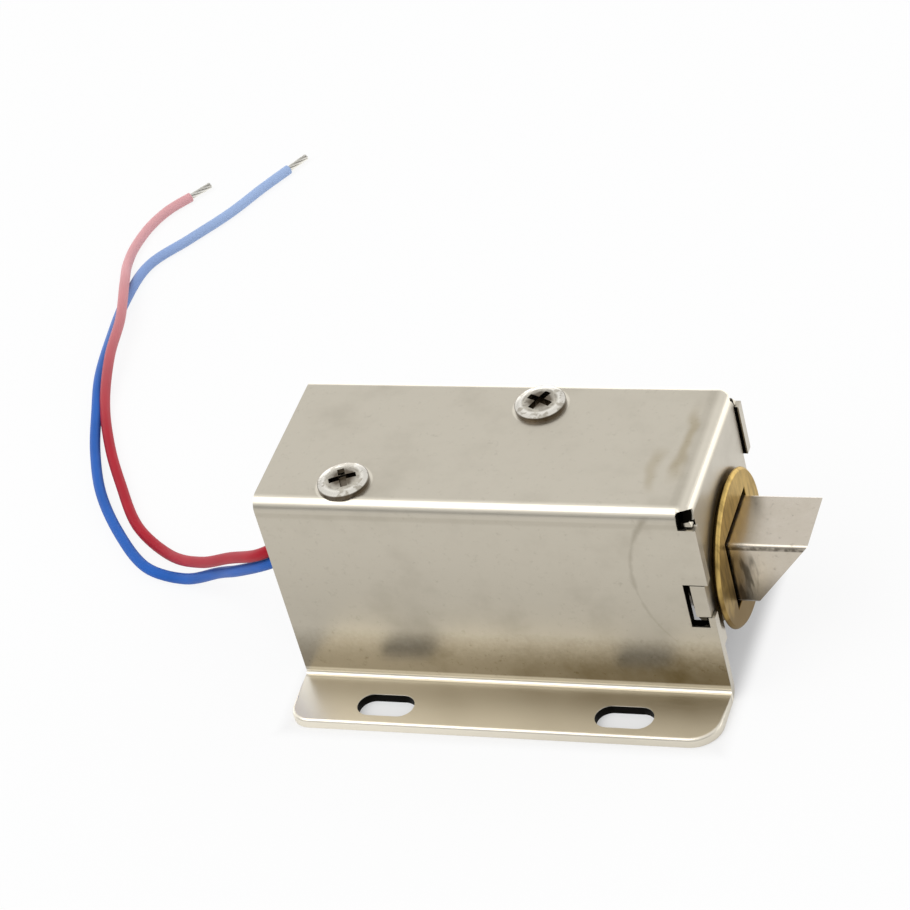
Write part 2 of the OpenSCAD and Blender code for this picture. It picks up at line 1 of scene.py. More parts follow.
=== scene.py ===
import math

import bmesh
import bpy
from mathutils import Matrix, Vector


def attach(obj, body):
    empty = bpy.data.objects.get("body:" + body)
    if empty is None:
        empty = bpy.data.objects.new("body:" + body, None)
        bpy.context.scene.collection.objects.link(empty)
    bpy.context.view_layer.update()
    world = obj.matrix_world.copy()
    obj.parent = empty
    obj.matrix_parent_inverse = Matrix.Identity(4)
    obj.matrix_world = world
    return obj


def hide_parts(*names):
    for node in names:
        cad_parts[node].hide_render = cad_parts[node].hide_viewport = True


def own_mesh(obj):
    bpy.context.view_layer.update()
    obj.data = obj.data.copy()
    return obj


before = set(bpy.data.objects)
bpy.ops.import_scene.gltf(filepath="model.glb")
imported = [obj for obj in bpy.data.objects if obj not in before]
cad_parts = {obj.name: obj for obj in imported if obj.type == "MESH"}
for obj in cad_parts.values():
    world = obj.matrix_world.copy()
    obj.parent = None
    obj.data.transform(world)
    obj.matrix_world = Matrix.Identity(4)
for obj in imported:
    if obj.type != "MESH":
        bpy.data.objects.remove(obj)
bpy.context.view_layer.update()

bl_info = {
    "name": "Solenoid lock",
    "version": (1, 0, 0),
    "blender": (4, 5, 0),
    "location": "3D View > Sidebar > Lock",
    "description": "Dresses the frame of a solenoid lock: casing, screws, bolt, coil and leads",
    "category": "Object",
}

MM = 0.001

# The bolt's axis over the mounting face, and the ends of the spring at rest
AXIS = 13.1 * MM
SPRING_REAR = -11.4 * MM
SPRING_FRONT = 10.2 * MM
# Diameter over the winding
COIL = 17.1 * MM
# Axes of the case screws, x and y in millimetres
SCREWS = ((-15.7, -7.6), (3.9, 6.6))

# The casing in millimetres: the thickness of its sheet, the height of its top and the outside of
# its walls. Its outer skin is the box CORE, from the middle, rounded by BEND all around.
SHEET = 1.2
TOP = 28.0
WALL = 11.1
CORE = (24.0, 9.5, 26.4)
BEND = 1.6
# A mounting slot's middle, and half of its straight part
SLOT_X, SLOT_Y, SLOT_STRAIGHT = 14.5, 15.9, 1.75
# The ends of the front fold lie beyond this x and z and within this y, and are cut at these y
FOLD_END = (22.5, 10.75, 25.8)
FOLD_CUTS = (9.5, 9.8, 10.1, 10.4)
# The top of the casing for its materials: a step over the height that is 1 on top
ON_TOP = (27.7, 27.9)

# Points closer than this are one, and a steeper edge than this is sharp
MERGE = 0.002 * MM
SHARP = math.radians(35)
# How far edges are rounded: on the parts around the bolt, and on the plunger and its pin
BROKEN = 0.08 * MM
ROUNDED = 0.15 * MM

# What the second word of a kind sets, in add()
MAIN_SETTING = {"Math": "operation", "VectorMath": "operation", "MeshBoolean": "operation",
                "MapRange": "interpolation_type", "VectorRotate": "rotation_type",
                "Mix": "data_type", "MeshCylinder": "fill_type"}

# Routes of the two leads in millimetres, the same points as in the part's source
RED_ROUTE = [(-12.5, -6.5, 20.7), (-18, -6.5, 20.7), (-23, -7.5, 20), (-28.5, -8.5, 17.5),
             (-35.5, -4, 12.5), (-43, 1.5, 6.5), (-51, 8, 1.5), (-58, 14, 0.7), (-63.5, 22, 0.7),
             (-68, 29.5, 0.7), (-72, 38, 0.8), (-74, 46, 2.2), (-75.5, 54, 2.3), (-78, 62, 2.2),
             (-80.5, 69, 0.7), (-80.5, 75.5, 0.7), (-79, 80.5, 0.7), (-76.5, 84, 0.7)]
BLUE_ROUTE = [(-12.5, -8, 19.1), (-18, -8, 19.1), (-23, -8.5, 18.3), (-28, -8.5, 16),
              (-34.5, -4.5, 11), (-40, 0, 6.3), (-47.5, 4, 1.3), (-54, 6.5, 0.7),
              (-60, 12.5, 0.7), (-65.5, 20, 0.7), (-69.5, 28, 0.7), (-72.5, 36, 0.7),
              (-75, 43.5, 0.7), (-76.5, 51.5, 0.7), (-77.5, 60, 0.7), (-77, 68, 0.7),
              (-73, 74, 0.7), (-69, 80, 0.7), (-66, 86, 0.7), (-63.5, 90.5, 0.7)]


def linear(hex_code):
    """An sRGB hex colour as linear red, green, blue and a full alpha."""
    values = [int(hex_code[i:i + 2], 16) / 255 for i in (0, 2, 4)]
    return tuple(v / 12.92 if v <= 0.04045 else ((v + 0.055) / 1.055) ** 2.4 for v in values) + (1,)


def add(tree, kind, *values, **named):
    """Adds a node. Its kind goes without the prefix, and its main setting may follow, as in
    "Math ADD". The values go to its inputs in order, and the named ones to the input of that name,
    with _ for a space; a name in lower case is a setting. A node stands for its first output, and
    each item of a list is linked."""
    kind, _, main = kind.partition(" ")
    prefix = next(p for p in ("ShaderNode", "GeometryNode", "Node") if hasattr(bpy.types, p + kind))
    node = tree.nodes.new(prefix + kind)
    if main:
        setattr(node, MAIN_SETTING[kind], main)
    for name, value in named.items():
        if name[0].islower():
            setattr(node, name, value)
    inputs = [socket for socket in node.inputs if socket.enabled]
    by_name = {socket.name: socket for socket in reversed(inputs)}
    filled = list(zip(inputs, values))
    filled += [(by_name[name.replace("_", " ")], value) for name, value in named.items()
               if name[0].isupper()]
    for target, value in filled:
        for source in value if isinstance(value, list) else [value]:
            if isinstance(source, bpy.types.Node):
                source = next(output for output in source.outputs if output.enabled)
            if isinstance(source, bpy.types.NodeSocket):
                tree.links.new(source, target)
            else:
                target.default_value = source
    return node


def linked(name, data):
    """A new object in the scene."""
    made = bpy.data.objects.new(name, data)
    bpy.context.scene.collection.objects.link(made)
    return made


# ---------------------------------------------------------------- settings


def colour(name, description, hex_code):
    return bpy.props.FloatVectorProperty(name=name, description=description, subtype="COLOR",
                                         size=4, min=0, max=1, default=linear(hex_code))


def length(name, description, millimetres):
    return bpy.props.FloatProperty(name=name, description=description, unit="LENGTH",
                                   default=millimetres * MM, min=0, precision=5)


class LockLeads(bpy.types.PropertyGroup):
    """Sizes and colours of the two leads."""
    diameter: length("Diameter", "Over the insulation", 1.4)
    strand: length("Tinned end", "Diameter of the tinned strands together", 0.9)
    bare: length("Bare length", "Length of the tinned end", 3.5)
    strands: bpy.props.IntProperty(name="Strands", description="Wires around the middle one",
                                   default=6, min=3, max=12)
    red: colour("Red", "Insulation of the red lead", "B81C2E")
    blue: colour("Blue", "Insulation of the blue lead", "2A68C4")


class LockSheet(bpy.types.PropertyGroup):
    """Finish of the folded casing."""
    nickel: colour("Nickel", "Plating of the casing", "C4BDAE")
    # this colour also paints the shade and the reflections on the walls
    stain_and_shade: colour("Stain", "Brown of the old stains", "5E5239")
    # this colour is the painted highlight on the bends and feet and around the screws
    rubbed: colour("Rubbed", "Plating on the bends, rubbed bright", "EFE8D8")
    # this colour is painted black shade on the inner side and in the slits, holes and slots
    inside: colour("Inside", "Dull inner side and the grime in slits and holes", "15130F")
    edge: length("Edge", "Rounding that punching and barrelling leave on each edge", 0.07)
    rolled: length("Foot edge", "Rounding that shearing leaves on the upper edge of the feet", 0.4)
    roughness: bpy.props.FloatProperty(name="Roughness", description="Satin of the plating",
                                       subtype="FACTOR", default=0.3, min=0, max=1)


class LockScrews(bpy.types.PropertyGroup):
    """Sizes of the case screws."""
    head: length("Head", "Head diameter", 6)
    height: length("Head height", "Height of the head", 0.9)
    thread: length("Thread", "Diameter over the thread", 3)
    pitch: length("Pitch", "Thread pitch", 0.5)
    shank: length("Length", "Length under the head", 5.5)
    recess: length("Recess", "Length of the cross recess", 3.2)
    recess_width: length("Recess width", "Width of each arm of the cross", 0.8)
    recess_depth: length("Recess depth", "Depth of the cross", 1.0)


class LockBrass(bpy.types.PropertyGroup):
    """Finish of the collar."""
    bright: colour("Brass", "Turned brass where it is clean", "C4A663")
    # this colour also paints the shade low on the collar
    tarnish_and_shade: colour("Tarnish", "Brass gone dull", "6C5632")
    mark: length("Turning mark", "Distance between turning marks", 0.22)


class LockSpring(bpy.types.PropertyGroup):
    """Sizes of the return spring."""
    diameter: length("Diameter", "Outer diameter", 4.5)
    wire: length("Wire", "Wire diameter", 0.5)
    turns: bpy.props.IntProperty(name="Turns", description="Turns in all", default=14, min=4)


class LockCoil(bpy.types.PropertyGroup):
    """Sizes of the winding."""
    wire: length("Wire", "Wire diameter, drawn thicker than the real 0.2 mm so that it shows", 0.4)
    tape: colour("Tape", "Polyester tape around the winding", "C9A227")


class LockStage(bpy.types.PropertyGroup):
    """Camera, floor and light."""
    lens: bpy.props.FloatProperty(name="Lens", description="Focal length on a 36 mm frame",
                                  default=135.68, min=10, max=400)
    key: bpy.props.FloatProperty(name="Key light", description="Power of the lamp above",
                                 default=1.0, min=0)
    room: bpy.props.FloatProperty(name="Room", description="Share of the room's light that "
                                  "falls on matt surfaces", default=0.68, min=0)


# ---------------------------------------------------------------- materials


def shader(name):
    """A new material with its tree and the place on the piece in millimetres."""
    made = bpy.data.materials.new(name)
    made.use_nodes = True
    tree = made.node_tree
    tree.nodes.clear()
    place = add(tree, "TexCoord").outputs["Object"]
    return made, tree, add(tree, "VectorMath SCALE", place, 1 / MM)


def finish_with(tree, height, strength, depth=0.02, **surface):
    """Ends a material: a relief of that strength and depth in mm, the surface, and the output."""
    bump = add(tree, "Bump", Height=height, Strength=strength, Distance=depth * MM)
    add(tree, "OutputMaterial", Surface=add(tree, "BsdfPrincipled", Normal=bump, **surface))


def layered(tree, tone, *layers):
    """The tone under the layers, each given as its share and its colour."""
    for share, colour_over in layers:
        tone = add(tree, "Mix RGBA", share, tone, colour_over)
    return tone


def combined(tree, operation, *parts):
    """The parts joined by the operation. A part in brackets is a smooth step: a value, the two
    bounds it goes between and, if they aren't 0 and 1, what the step is at each of them."""
    total = None
    for part in parts:
        if isinstance(part, tuple):
            part = add(tree, "MapRange SMOOTHSTEP", *part)
        total = part if total is None else add(tree, "Math " + operation, total, part)
    return total


def all_of(tree, *parts):
    """Where all the parts hold at once."""
    return combined(tree, "MULTIPLY", *parts)


def most_of(tree, *parts):
    """The strongest of the parts."""
    return combined(tree, "MAXIMUM", *parts)


def off(tree, value, middle):
    """How far a value is from the middle, on either side."""
    return add(tree, "Math ABSOLUTE", add(tree, "Math SUBTRACT", value, middle))


def beyond(tree, *pairs):
    """The distance outside a box, given as pairs of a value and the limit it has there."""
    past = [add(tree, "Math MAXIMUM", add(tree, "Math SUBTRACT", value, limit), 0)
            for value, limit in pairs]
    return add(tree, "VectorMath LENGTH", add(tree, "CombineXYZ", *past))


def casing_place(tree, place):
    """A place on the casing as x, the distance from its middle plane, z and the side, all in mm."""
    x, side, z = add(tree, "SeparateXYZ", place).outputs
    return x, add(tree, "Math ABSOLUTE", side), z, side


def shade_in_cuts(tree, place):
    """Painted shade: the sheet is painted dark where shade falls, on its inner side and on the
    walls of cuts, holes and slots.
    """
    x, y, z, side = casing_place(tree, place)
    # deeper than the outer skin, but for the edges at the rear
    under = all_of(tree, (beyond(tree, *zip((x, y, z), CORE)), BEND - 0.08, BEND - 0.24),
                   (x, -25.95, -25.8))
    # the inner faces of the walls, as far as they stand in front of the panel
    ear = all_of(tree, (side, -9.0, -9.3), (z, 12.5, 12.7), (z, 17.5, 17.3))
    beside = all_of(tree, (y, 10.05, 9.95), (y, 9.48, 9.52), (x, 25.92, 25.78), (x, 25.2, 25.3),
                    (z, 26.0, 25.9), add(tree, "Math SUBTRACT", 1, ear))
    # the walls of the mounting slots, under the rounding of their edges
    along = off(tree, add(tree, "Math ABSOLUTE", x), SLOT_X)
    from_slot = beyond(tree, (along, SLOT_STRAIGHT), (off(tree, y, SLOT_Y), 0))
    slot_wall = all_of(tree, (from_slot, 1.88, 1.78), (z, SHEET - 0.04, SHEET - 0.14))
    return most_of(tree, under, beside, slot_wall)


def satin_nickel(name, setting):
    """Bright nickel over rolled steel sheet, barrel-finished: a warm satin grey that mirrors
    softly, with faint rolling lines along the sheet, cloudy handling marks, thin brown stains and
    drips, painted shade and reflections on the walls, painted highlights on the bends, and painted
    black shade in the cuts and on the inner side."""
    made, tree, place = shader(name)
    cloud = add(tree, "TexNoise", Vector=place, Scale=0.14, Detail=4, Roughness=0.6)
    stretched = add(tree, "Mapping", Vector=place, Scale=(0.35, 5, 5))
    grain = add(tree, "TexNoise", Vector=stretched, Scale=1, Detail=2)
    speck = add(tree, "TexNoise", Vector=place, Scale=1.3, Detail=5, Roughness=0.7)
    handled = most_of(tree, (cloud, 0.45, 0.8, 0, 0.16), (speck, 0.54, 0.80, 0, 0.2))
    stained_and_shaded = add(tree, "Math ADD", handled, stains_and_shade(tree, place), use_clamp=True)
    # painted black shade on the inner side and in the cuts
    black = shade_in_cuts(tree, place)
    # the painted shade on the walls comes with the stains; painted highlights and black shade go
    # over all
    tone = layered(tree, setting.nickel, (stained_and_shaded, setting.stain_and_shade),
                   (drips(tree, place), linear("8E7B50")),
                   (painted_highlights(tree, place), setting.rubbed), (black, setting.inside))
    satin = add(tree, "MapRange", grain, 0, 1, setting.roughness - 0.05, setting.roughness + 0.07)
    gloss = add(tree, "Math MULTIPLY_ADD", black, 0.35, satin)
    finish_with(tree, grain, 0.10, 0.03, Base_Color=tone, Metallic=1, Roughness=gloss)
    return made


def painted_highlights(tree, place):
    """Painted highlights, a lighter colour where light falls bright: the bends, the folds of the
    feet, the feet themselves, most at the rear and on their cut edge, and a painted reflection
    as a ring around each screw."""
    x, y, z, _ = casing_place(tree, place)
    # painted highlights on the bends, the folds of the feet and the feet
    bends = all_of(tree, (z, 26.5, 27.1), most_of(tree, (y, 9.6, 10.2), (x, 24.1, 24.7)), 0.4)
    fold = all_of(tree, (y, 11.0, 11.05), (y, 11.75, 11.5), (z, 1.75, 1.55))
    feet = all_of(tree, (y, 11.5, 12.0), (x, 24.0, -22.0, 0.6, 1.0))
    # a painted reflection of each screw head, as a light ring on the top
    ring = all_of(tree, (z, 27.8, 27.95), (from_screw(tree, place), 3.45, 3.2), 0.6)
    # a painted highlight on the cut edge around each foot, whose corners are rounded by 3.5 mm
    out = beyond(tree, (add(tree, "Math ABSOLUTE", x), 22.5), (y, 15.5))
    cut = all_of(tree, (out, 3.1, 3.3), (z, SHEET - 0.01, SHEET - 0.08), (y, 11.5, 12.0), 0.65)
    return most_of(tree, bends, fold, feet, ring, cut)


def from_screw(tree, place):
    """The distance from the axis of the nearer case screw, in mm."""
    moved = [add(tree, "Mapping", Vector=place, Location=(-x, -y, 0), Scale=(1, 1, 0))
             for x, y in SCREWS]
    return add(tree, "Math MINIMUM", *(add(tree, "VectorMath LENGTH", way) for way in moved))


def drips(tree, place):
    """Two yellow brown drips that ran across the top behind the front fold."""
    x, _, z, side = casing_place(tree, place)
    wobble = add(tree, "TexNoise", Vector=place, Scale=0.22, Detail=1)
    both = []
    # place along the casing, middle and half length across it, strength
    for along, middle, half, strength in ((22.5, 0.5, 7.5, 0.42), (20.0, -4.0, 4.5, 0.28)):
        bent = add(tree, "Math MULTIPLY_ADD", wobble, 3, add(tree, "Math SUBTRACT", x, along + 1.5))
        both.append(all_of(tree, (z, *ON_TOP),
                           (add(tree, "Math ABSOLUTE", bent), 0.1, 1.1, strength, 0),
                           (off(tree, side, middle), half, 0.4 * half)))
    return most_of(tree, *both)


def stains_and_shade(tree, place):
    """Marks and painted shade on the casing: an arc-shaped brown mark of wear on the near wall and
    two smudges on it that are painted reflections of the mounting slots, brown painted shade low
    on the walls and towards their front, painted shade that deepens down the walls, and a painted
    dark reflection line under each side bend and behind the front fold."""
    x, y, z, side = casing_place(tree, place)
    wobble = add(tree, "TexNoise", Vector=place, Scale=0.5, Detail=4)
    fine = add(tree, "TexNoise", Vector=place, Scale=2.2, Detail=3)
    marks = []
    # the arc is a mark of wear, and the two smudges low down are painted reflections of the slots
    # x and z of the centre in mm, distance of the band's middle, half its width, strength
    for along, up, radius, half, strength in ((32.1, 18.2, 14.6, 0.45, 0.30),
                                              (-15.6, 6.0, 0.0, 0.8, 0.62),
                                              (14.4, 7.0, 0.0, 0.8, 0.66)):
        away = off(tree, add(tree, "VectorMath DISTANCE", place, (along, -WALL, up)), radius)
        ragged = add(tree, "Math MULTIPLY_ADD", wobble, 2.4 * half, away)
        marks.append(all_of(tree, (side, -10.8, -11.0), (ragged, half, 2.6 * half, strength, 0)))
    outside = (y, 10.9, 11.05)
    ragged = add(tree, "Math MULTIPLY_ADD", fine, 1.5, z)
    # painted shade, brown, low on the walls and more towards their front
    low_shade = all_of(tree, outside, (ragged, 12.5, 4.0), (z, 1.9, 2.3), (x, -18, 22, 0.7, 0.9))
    # painted shade, darker down the walls
    darkened = all_of(tree, outside, (z, 25.0, 8.0, 0.02, 0.20))
    # painted dark reflections under each side bend and behind the front fold
    under_bend = all_of(tree, outside, (z, 25.2, 25.8, 0, 0.13), (z, 26.4, 26.1))
    behind_fold = all_of(tree, (z, *ON_TOP), (x, 22.9, 23.5, 0, 0.10), (x, 24.2, 23.9))
    return most_of(tree, *marks, low_shade, darkened, under_bend, behind_fold)


def turned_brass(name, bright, tarnish_and_shade, mark):
    """Free-cutting brass, turned and left bare: an olive yellow metal with fine rings around the
    axis, browner where it has tarnished, browner low down as painted shade, and painted black
    shade in the step behind the rim and in the hollow within it."""
    made, tree, place = shader(name)
    x, _, z, _ = casing_place(tree, place)
    centred = add(tree, "Mapping", Vector=place, Location=(0, 0, -AXIS / MM), Scale=(0, 1, 1))
    radius = add(tree, "VectorMath LENGTH", centred)
    rings = add(tree, "Math SINE", add(tree, "Math MULTIPLY", radius, 2 * math.pi * MM / mark))
    cloud = add(tree, "TexNoise", Vector=place, Scale=0.35, Detail=4)
    stretched = add(tree, "Mapping", Vector=place, Scale=(1, 2.5, 0.5))
    streak = add(tree, "TexNoise", Vector=stretched, Scale=0.7, Detail=1)
    tarnish = most_of(tree, (cloud, 0.42, 0.78, 0, 0.6), (streak, 0.42, 0.72, 0, 0.5))
    # tarnish, and painted shade growing towards the bottom
    darkened = add(tree, "Math ADD", tarnish, all_of(tree, (z, 17.0, 6.0)), use_clamp=True)
    # painted black shade in the step behind the rim and in the hollow within it
    step = all_of(tree, (radius, 8.0, 8.3), (radius, 8.8, 8.6), (x, 26.16, 26.02))
    hole = all_of(tree, (radius, 8.3, 8.0), (x, 26.45, 25.9))
    black = all_of(tree, most_of(tree, step, hole), 0.9)
    tone = layered(tree, bright, (darkened, tarnish_and_shade), (black, linear("1B140A")))
    finish_with(tree, rings, 0.15, Base_Color=tone, Metallic=1,
                Roughness=add(tree, "MapRange", cloud, 0, 1, 0.26, 0.42),
                Specular_Tint=linear("F3EBDB"))
    return made


def bolt_nickel_and_shade(name, bright, dark, grime_and_shade, roughness):
    """Nickel plating on the bolt, worn by the striker: a warm grey, browner low on its sides, with
    a dark smear beside the collar, and a painted dark reflection as a thin line under its upper
    edges."""
    made, tree, place = shader(name)
    x, y, z, _ = casing_place(tree, place)
    cloud = add(tree, "TexNoise", Vector=place, Scale=0.4, Detail=4)
    marks = add(tree, "TexNoise", Vector=place, Scale=1.6, Detail=3)
    stretched = add(tree, "Mapping", Vector=place, Scale=(2.2, 1, 0.35))
    streak = add(tree, "TexNoise", Vector=stretched, Scale=0.8, Detail=1)
    sides = (y, 4.1, 4.25)
    low = all_of(tree, sides, (z, 14.5, 8.8, 0, 0.68))
    smear = all_of(tree, sides, (x, 30.2, 28.6), (streak, 0.40, 0.60, 0.3, 0.8), (z, 16.6, 15.0))
    # a painted dark reflection, as a thin line just under the upper edges
    under_edge = all_of(tree, (y, 4.12, 4.2), (z, 16.55, 16.75), (z, 17.25, 17.05),
                        (marks, 0.3, 0.6, 0.35, 0.8))
    dirt_and_shade = most_of(tree, low, smear, under_edge, (marks, 0.62, 0.72, 0, 0.2))
    finish_with(tree, marks, 0.1, Metallic=1,
                Base_Color=layered(tree, bright, (cloud, dark), (dirt_and_shade, grime_and_shade)),
                Roughness=add(tree, "MapRange", marks, 0, 1, roughness - 0.06, roughness + 0.08))
    return made


def screw_wear_and_shade(name, plain, rubbed, grime_and_shade):
    """Nickel plating on a screw head: mottled grey with a painted highlight on its rim, a brown
    blot of soiling around the recess, and painted shade in the recess and down the side of the
    head."""
    made, tree, place = shader(name)
    _, _, z, _ = casing_place(tree, place)
    away = from_screw(tree, place)
    blots = add(tree, "TexNoise", Vector=place, Scale=1.1, Detail=4)
    ragged = add(tree, "Math MULTIPLY_ADD", blots, 1.8, away)
    # painted shade on the walls of the recess
    sunk = all_of(tree, (away, 1.7, 1.0, 0.25, 0.7), (z, TOP + 0.80, TOP + 0.66))
    # painted shade on the flank of the head
    flank = all_of(tree, (away, 2.6, 2.9), (z, TOP + 0.60, TOP + 0.50), 0.95)
    # painted highlight on the rim
    ring = all_of(tree, (away, 1.9, 2.3), (blots, 0.38, 0.5))
    dirt_and_shade = most_of(tree, (ragged, 2.7, 1.9, 0, 0.85), sunk, flank)
    mottled = all_of(tree, (blots, 0.40, 0.62, 0, 0.4))
    finish_with(tree, blots, 0.2, 0.05, Metallic=1, Roughness=0.24,
                Base_Color=layered(tree, plain, (mottled, grime_and_shade), (ring, rubbed), (dirt_and_shade, grime_and_shade)))
    return made


def plain_metal(name, bright, dark, roughness, grit):
    """A machined or plated metal without colour of its own kind: grey or brown toned, with marks
    as fine as the grit, in mm."""
    made, tree, place = shader(name)
    cloud = add(tree, "TexNoise", Vector=place, Scale=0.4, Detail=4)
    marks = add(tree, "TexNoise", Vector=place, Scale=1 / grit, Detail=2)
    finish_with(tree, marks, 0.12, Metallic=1, Base_Color=layered(tree, bright, (cloud, dark)),
                Roughness=add(tree, "MapRange", marks, 0, 1, roughness - 0.08, roughness + 0.08))
    return made


def soft_plastic(name, bright, dark, roughness, grit):
    """A moulded or extruded plastic or rubber: one colour that wavers a little, and a skin as fine
    as the grit, in mm."""
    made, tree, place = shader(name)
    cloud = add(tree, "TexNoise", Vector=place, Scale=0.3, Detail=3)
    skin = add(tree, "TexNoise", Vector=place, Scale=1 / grit, Detail=2)
    finish_with(tree, skin, 0.1, Base_Color=layered(tree, bright, (cloud, dark)),
                Roughness=roughness)
    return made


def drawn_pvc(name, base, pale, fade_from, fade_to):
    """Drawn PVC insulation: a saturated colour with a dull shine, paler towards its free end."""
    made, tree, place = shader(name)
    gone = add(tree, "SeparateXYZ", add(tree, "UVMap", uv_map="along")).outputs["Y"]
    fade = all_of(tree, (gone, fade_from, fade_to, 0, 0.7))
    cloud = add(tree, "TexNoise", Vector=place, Scale=0.25, Detail=3)
    skin = add(tree, "TexNoise", Vector=place, Scale=4, Detail=2)
    dark = tuple(value * 0.7 for value in base[:3]) + (1,)
    finish_with(tree, skin, 0.08, Base_Color=layered(tree, base, (cloud, dark), (fade, pale)),
                Roughness=0.5, Specular_IOR_Level=0.18)
    return made


# ---------------------------------------------------------------- making meshes


def new_piece(name, mesh, material, body, slot, *stands_for):
    """Links a finished mesh as a piece, with its material, its body and what it stands for."""
    piece = linked(name, mesh)
    mesh.materials.clear()
    mesh.materials.append(material)
    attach(piece, body)
    if stands_for:
        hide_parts(*stands_for)
    return piece


def baked(piece, name):
    """The evaluated mesh of an object with modifiers, as a plain mesh, and the object removed."""
    bpy.context.view_layer.update()
    graph = bpy.context.evaluated_depsgraph_get()
    mesh = bpy.data.meshes.new_from_object(piece.evaluated_get(graph), depsgraph=graph)
    mesh.name = name
    old = piece.data
    bpy.data.objects.remove(piece)
    bpy.data.meshes.remove(old)
    return mesh


def softened(node, edge, material, body, slot, steps=2, rolled=0.0, is_rolled=None):
    """A copy of a CAD solid with its sharp edges rounded by edge, standing for the solid. Edges
    that pass the test is_rolled are rounded by the width rolled instead. Flat faces stay flat."""
    work = bmesh.new()
    work.from_mesh(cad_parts[node].data)
    bmesh.ops.remove_doubles(work, verts=work.verts, dist=MERGE)
    bmesh.ops.dissolve_limit(work, angle_limit=math.radians(0.5), verts=work.verts,
                             edges=work.edges)
    if node == "casing":
        follow_bends(work)
    if is_rolled:
        chosen = [line for line in work.edges if len(line.link_faces) == 2 and is_rolled(line)
                  and line.calc_face_angle() > SHARP]
        bmesh.ops.bevel(work, geom=chosen, offset=rolled, offset_type="OFFSET", segments=4,
                        profile=0.5, affect="EDGES", clamp_overlap=False)
    mesh = bpy.data.meshes.new(node + "_dressed")
    work.to_mesh(mesh)
    work.free()
    piece = linked(node + "_dressed", mesh)
    bevel = piece.modifiers.new("edges", "BEVEL")
    bevel.width, bevel.segments = edge, steps
    bevel.limit_method, bevel.angle_limit = "ANGLE", SHARP
    bevel.use_clamp_overlap = True
    rounded = baked(piece, node + "_dressed")
    rounded.shade_smooth()
    rounded.set_sharp_from_angle(angle=SHARP)
    return new_piece(node + "_dressed", flat_faced(rounded), material, body, slot, node)


def follow_bends(work):
    """Presses the ends of the front fold into the rounding of the side bends."""
    for place in FOLD_CUTS:
        for side in (-1, 1):
            bmesh.ops.bisect_plane(work, geom=work.verts[:] + work.edges[:] + work.faces[:],
                                   plane_co=(0, side * place * MM, 0), plane_no=(0, 1, 0),
                                   dist=MERGE)
    far_x, far_y, far_z = (limit * MM for limit in CORE)
    end_x, end_y, end_z = (limit * MM for limit in FOLD_END)
    for vert in work.verts:
        x, y, z = vert.co
        core = Vector((min(x, far_x), math.copysign(min(abs(y), far_y), y), min(z, far_z)))
        out = vert.co - core
        at_fold = x > end_x and z > end_z and abs(y) < end_y
        if at_fold and out.length > (BEND + 0.01) * MM:
            vert.co = core + out.normalized() * BEND * MM


def flat_faced(mesh):
    """The mesh with its normals weighted by area, so that large flats stay flat to their edges."""
    piece = linked(mesh.name, mesh)
    weighted = piece.modifiers.new("flats", "WEIGHTED_NORMAL")
    weighted.keep_sharp, weighted.weight = True, 50
    return baked(piece, mesh.name)


def smooth_route(points, steps=8, lowest=0.7):
    """A smooth curve through the points of a route, as close rings, and never below the lowest
    height at which a lead can lie on the bench."""
    rings = []
    last = len(points) - 1
    for i in range(last):
        a, b, c, d = (Vector(points[j]) for j in (max(i - 1, 0), i, i + 1, min(i + 2, last)))
        for k in range(steps):
            t = k / steps
            p = 0.5 * (2 * b + (c - a) * t + (2 * a - 5 * b + 4 * c - d) * t * t
                       + (3 * b - a - 3 * c + d) * t ** 3)
            rings.append(Vector((p.x, p.y, max(p.z, lowest))) * MM)
    rings.append(Vector(points[-1]) * MM)
    return rings


def tube(name, rings, radius, sides):
    """A closed round tube through the rings, and its length. Its map, named along, goes once
    around it in x and gives the millimetres from its start in y."""
    work = bmesh.new()
    uv = work.loops.layers.uv.new("along")
    rows, gone = [], [0.0]
    side = None
    for i, p in enumerate(rings):
        way = (rings[min(i + 1, len(rings) - 1)] - rings[max(i - 1, 0)]).normalized()
        side = way.cross(Vector((0, 0, 1))).normalized() if side is None else \
            (side - way * side.dot(way)).normalized()
        up = side.cross(way)
        rows.append([work.verts.new(p + radius * (math.cos(2 * math.pi * k / sides) * side
                                                  + math.sin(2 * math.pi * k / sides) * up))
                     for k in range(sides)])
        if i:
            gone.append(gone[-1] + (p - rings[i - 1]).length / MM)
    for i in range(len(rows) - 1):
        for k in range(sides):
            n = (k + 1) % sides
            face = work.faces.new((rows[i][k], rows[i][n], rows[i + 1][n], rows[i + 1][k]))
            for loop, (u, v) in zip(face.loops, ((k, i), (k + 1, i), (k + 1, i + 1), (k, i + 1))):
                loop[uv].uv = (u / sides, gone[v])
    for row, end in ((rows[0][::-1], 0), (rows[-1], -1)):
        for loop in work.faces.new(row).loops:
            loop[uv].uv = (0.5, gone[end])
    bmesh.ops.recalc_face_normals(work, faces=work.faces)
    mesh = bpy.data.meshes.new(name)
    work.to_mesh(mesh)
    work.free()
    mesh.shade_smooth()
    mesh.set_sharp_from_angle(angle=math.radians(50))
    return mesh, gone[-1] * MM


def node_mesh(name, tree, values, points=None):
    """What a node tree makes from its named values, as a plain mesh."""
    start = bpy.data.meshes.new(name)
    if points:
        start.from_pydata([p[:3] for p in points], [], [])
        turn = start.attributes.new("turn", "FLOAT", "POINT")
        for i, p in enumerate(points):
            turn.data[i].value = p[3]
    piece = linked(name, start)
    modifier = piece.modifiers.new("made", "NODES")
    modifier.node_group = tree
    for item in tree.interface.items_tree:
        if item.item_type == "SOCKET" and item.in_out == "INPUT" and item.name in values:
            modifier[item.identifier] = values[item.name]
    return baked(piece, name)


